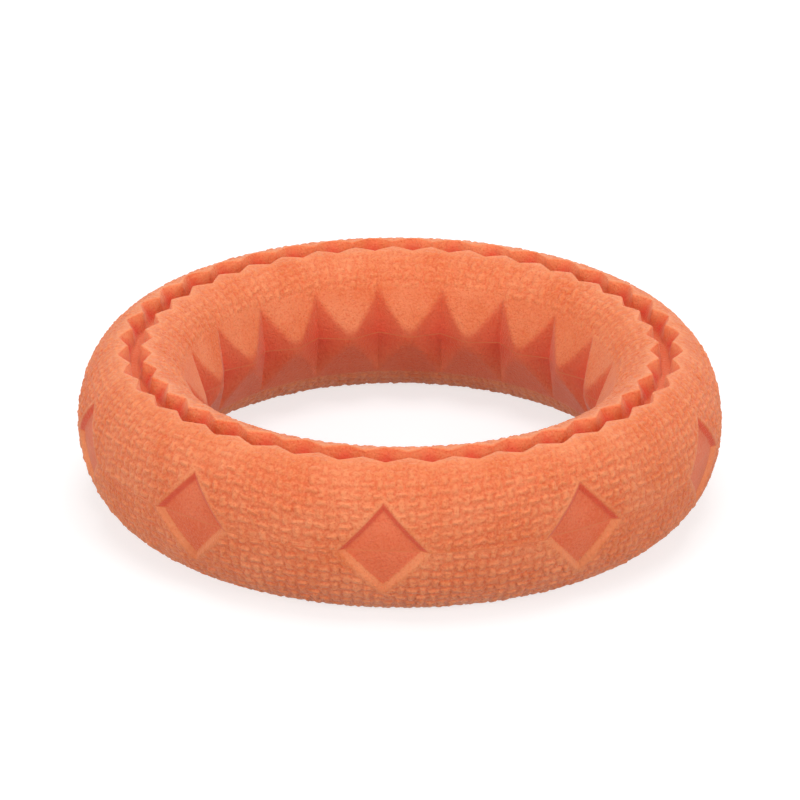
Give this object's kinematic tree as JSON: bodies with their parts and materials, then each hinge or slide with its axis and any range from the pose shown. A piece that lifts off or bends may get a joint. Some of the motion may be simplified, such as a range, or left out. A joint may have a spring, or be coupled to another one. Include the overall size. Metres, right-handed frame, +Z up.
{
  "type": "flying ring",
  "caption": "Thick foam throwing ring with a woven texture, diamond recesses outside, a zig-zag groove top and bottom, and pyramids round the hole.",
  "frame": {"origin": "centre of the ring, on the plane that it lies on", "axes": "+Z up along the axis of the ring; -Y is the front, through the middle of one diamond recess"},
  "size_m": [0.17, 0.1686, 0.0404],
  "materials": {
    "upper_foam": "orange closed-cell foam, moulded basket-weave texture, matt with a soft sheen",
    "lower_foam": "orange closed-cell foam, moulded basket-weave texture, matt with a soft sheen",
    "bond_adhesive": "thin contact adhesive, tinted orange, slightly satin"
  },
  "bodies": {
    "root": {"upper_half": "upper_foam", "lower_half": "lower_foam", "bond_film": "bond_adhesive"}
  },
  "joints": []
}
